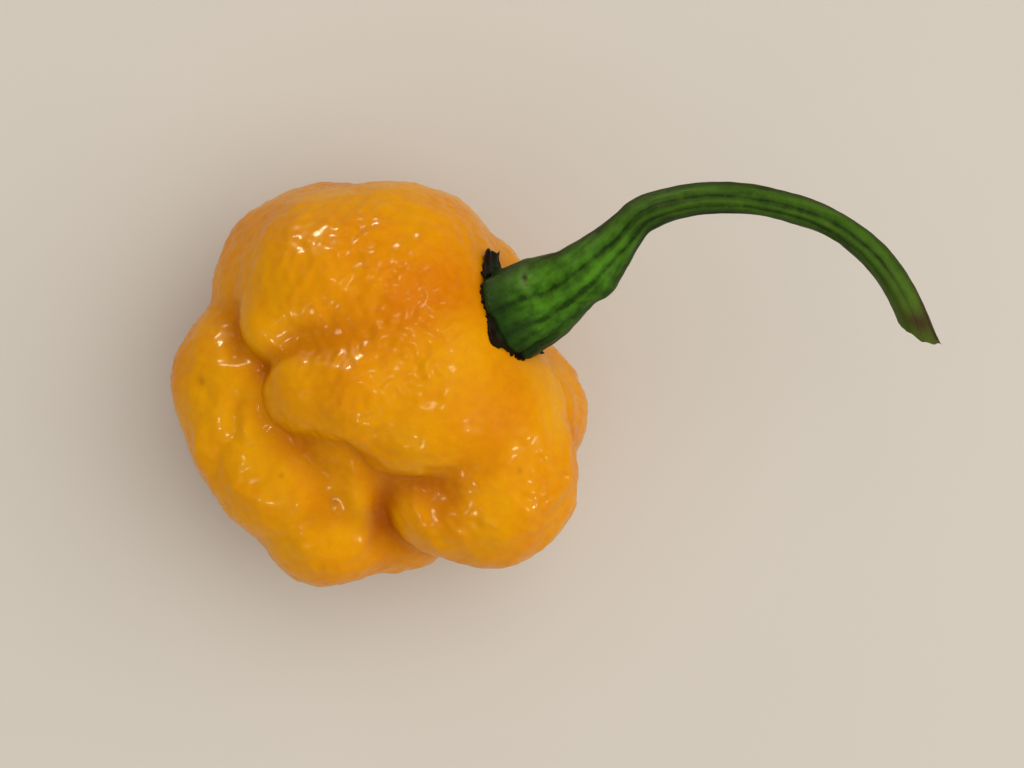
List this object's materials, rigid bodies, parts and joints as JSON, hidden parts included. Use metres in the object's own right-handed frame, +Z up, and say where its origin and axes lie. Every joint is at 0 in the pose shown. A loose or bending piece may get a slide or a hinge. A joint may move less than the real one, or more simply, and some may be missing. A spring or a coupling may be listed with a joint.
{
  "type": "chilli pepper",
  "caption": "Ripe yellow-orange lobed bonnet chilli lying on its side, with a ragged calyx and a long curved green stem cut off at the tip.",
  "frame": {"origin": "middle of the part's footprint, on the surface it lies on", "axes": "+Z up from the surface it lies on, +X from the pod towards the stem's cut tip, which is the longest way across"},
  "size_m": [0.0788, 0.0424, 0.0396],
  "materials": {
    "pod_skin": "gloss",
    "calyx_rind": "matte",
    "stem_rind": "satin"
  },
  "bodies": {
    "root": {"pod": "pod_skin", "calyx": "calyx_rind", "stem": "stem_rind"}
  },
  "joints": []
}
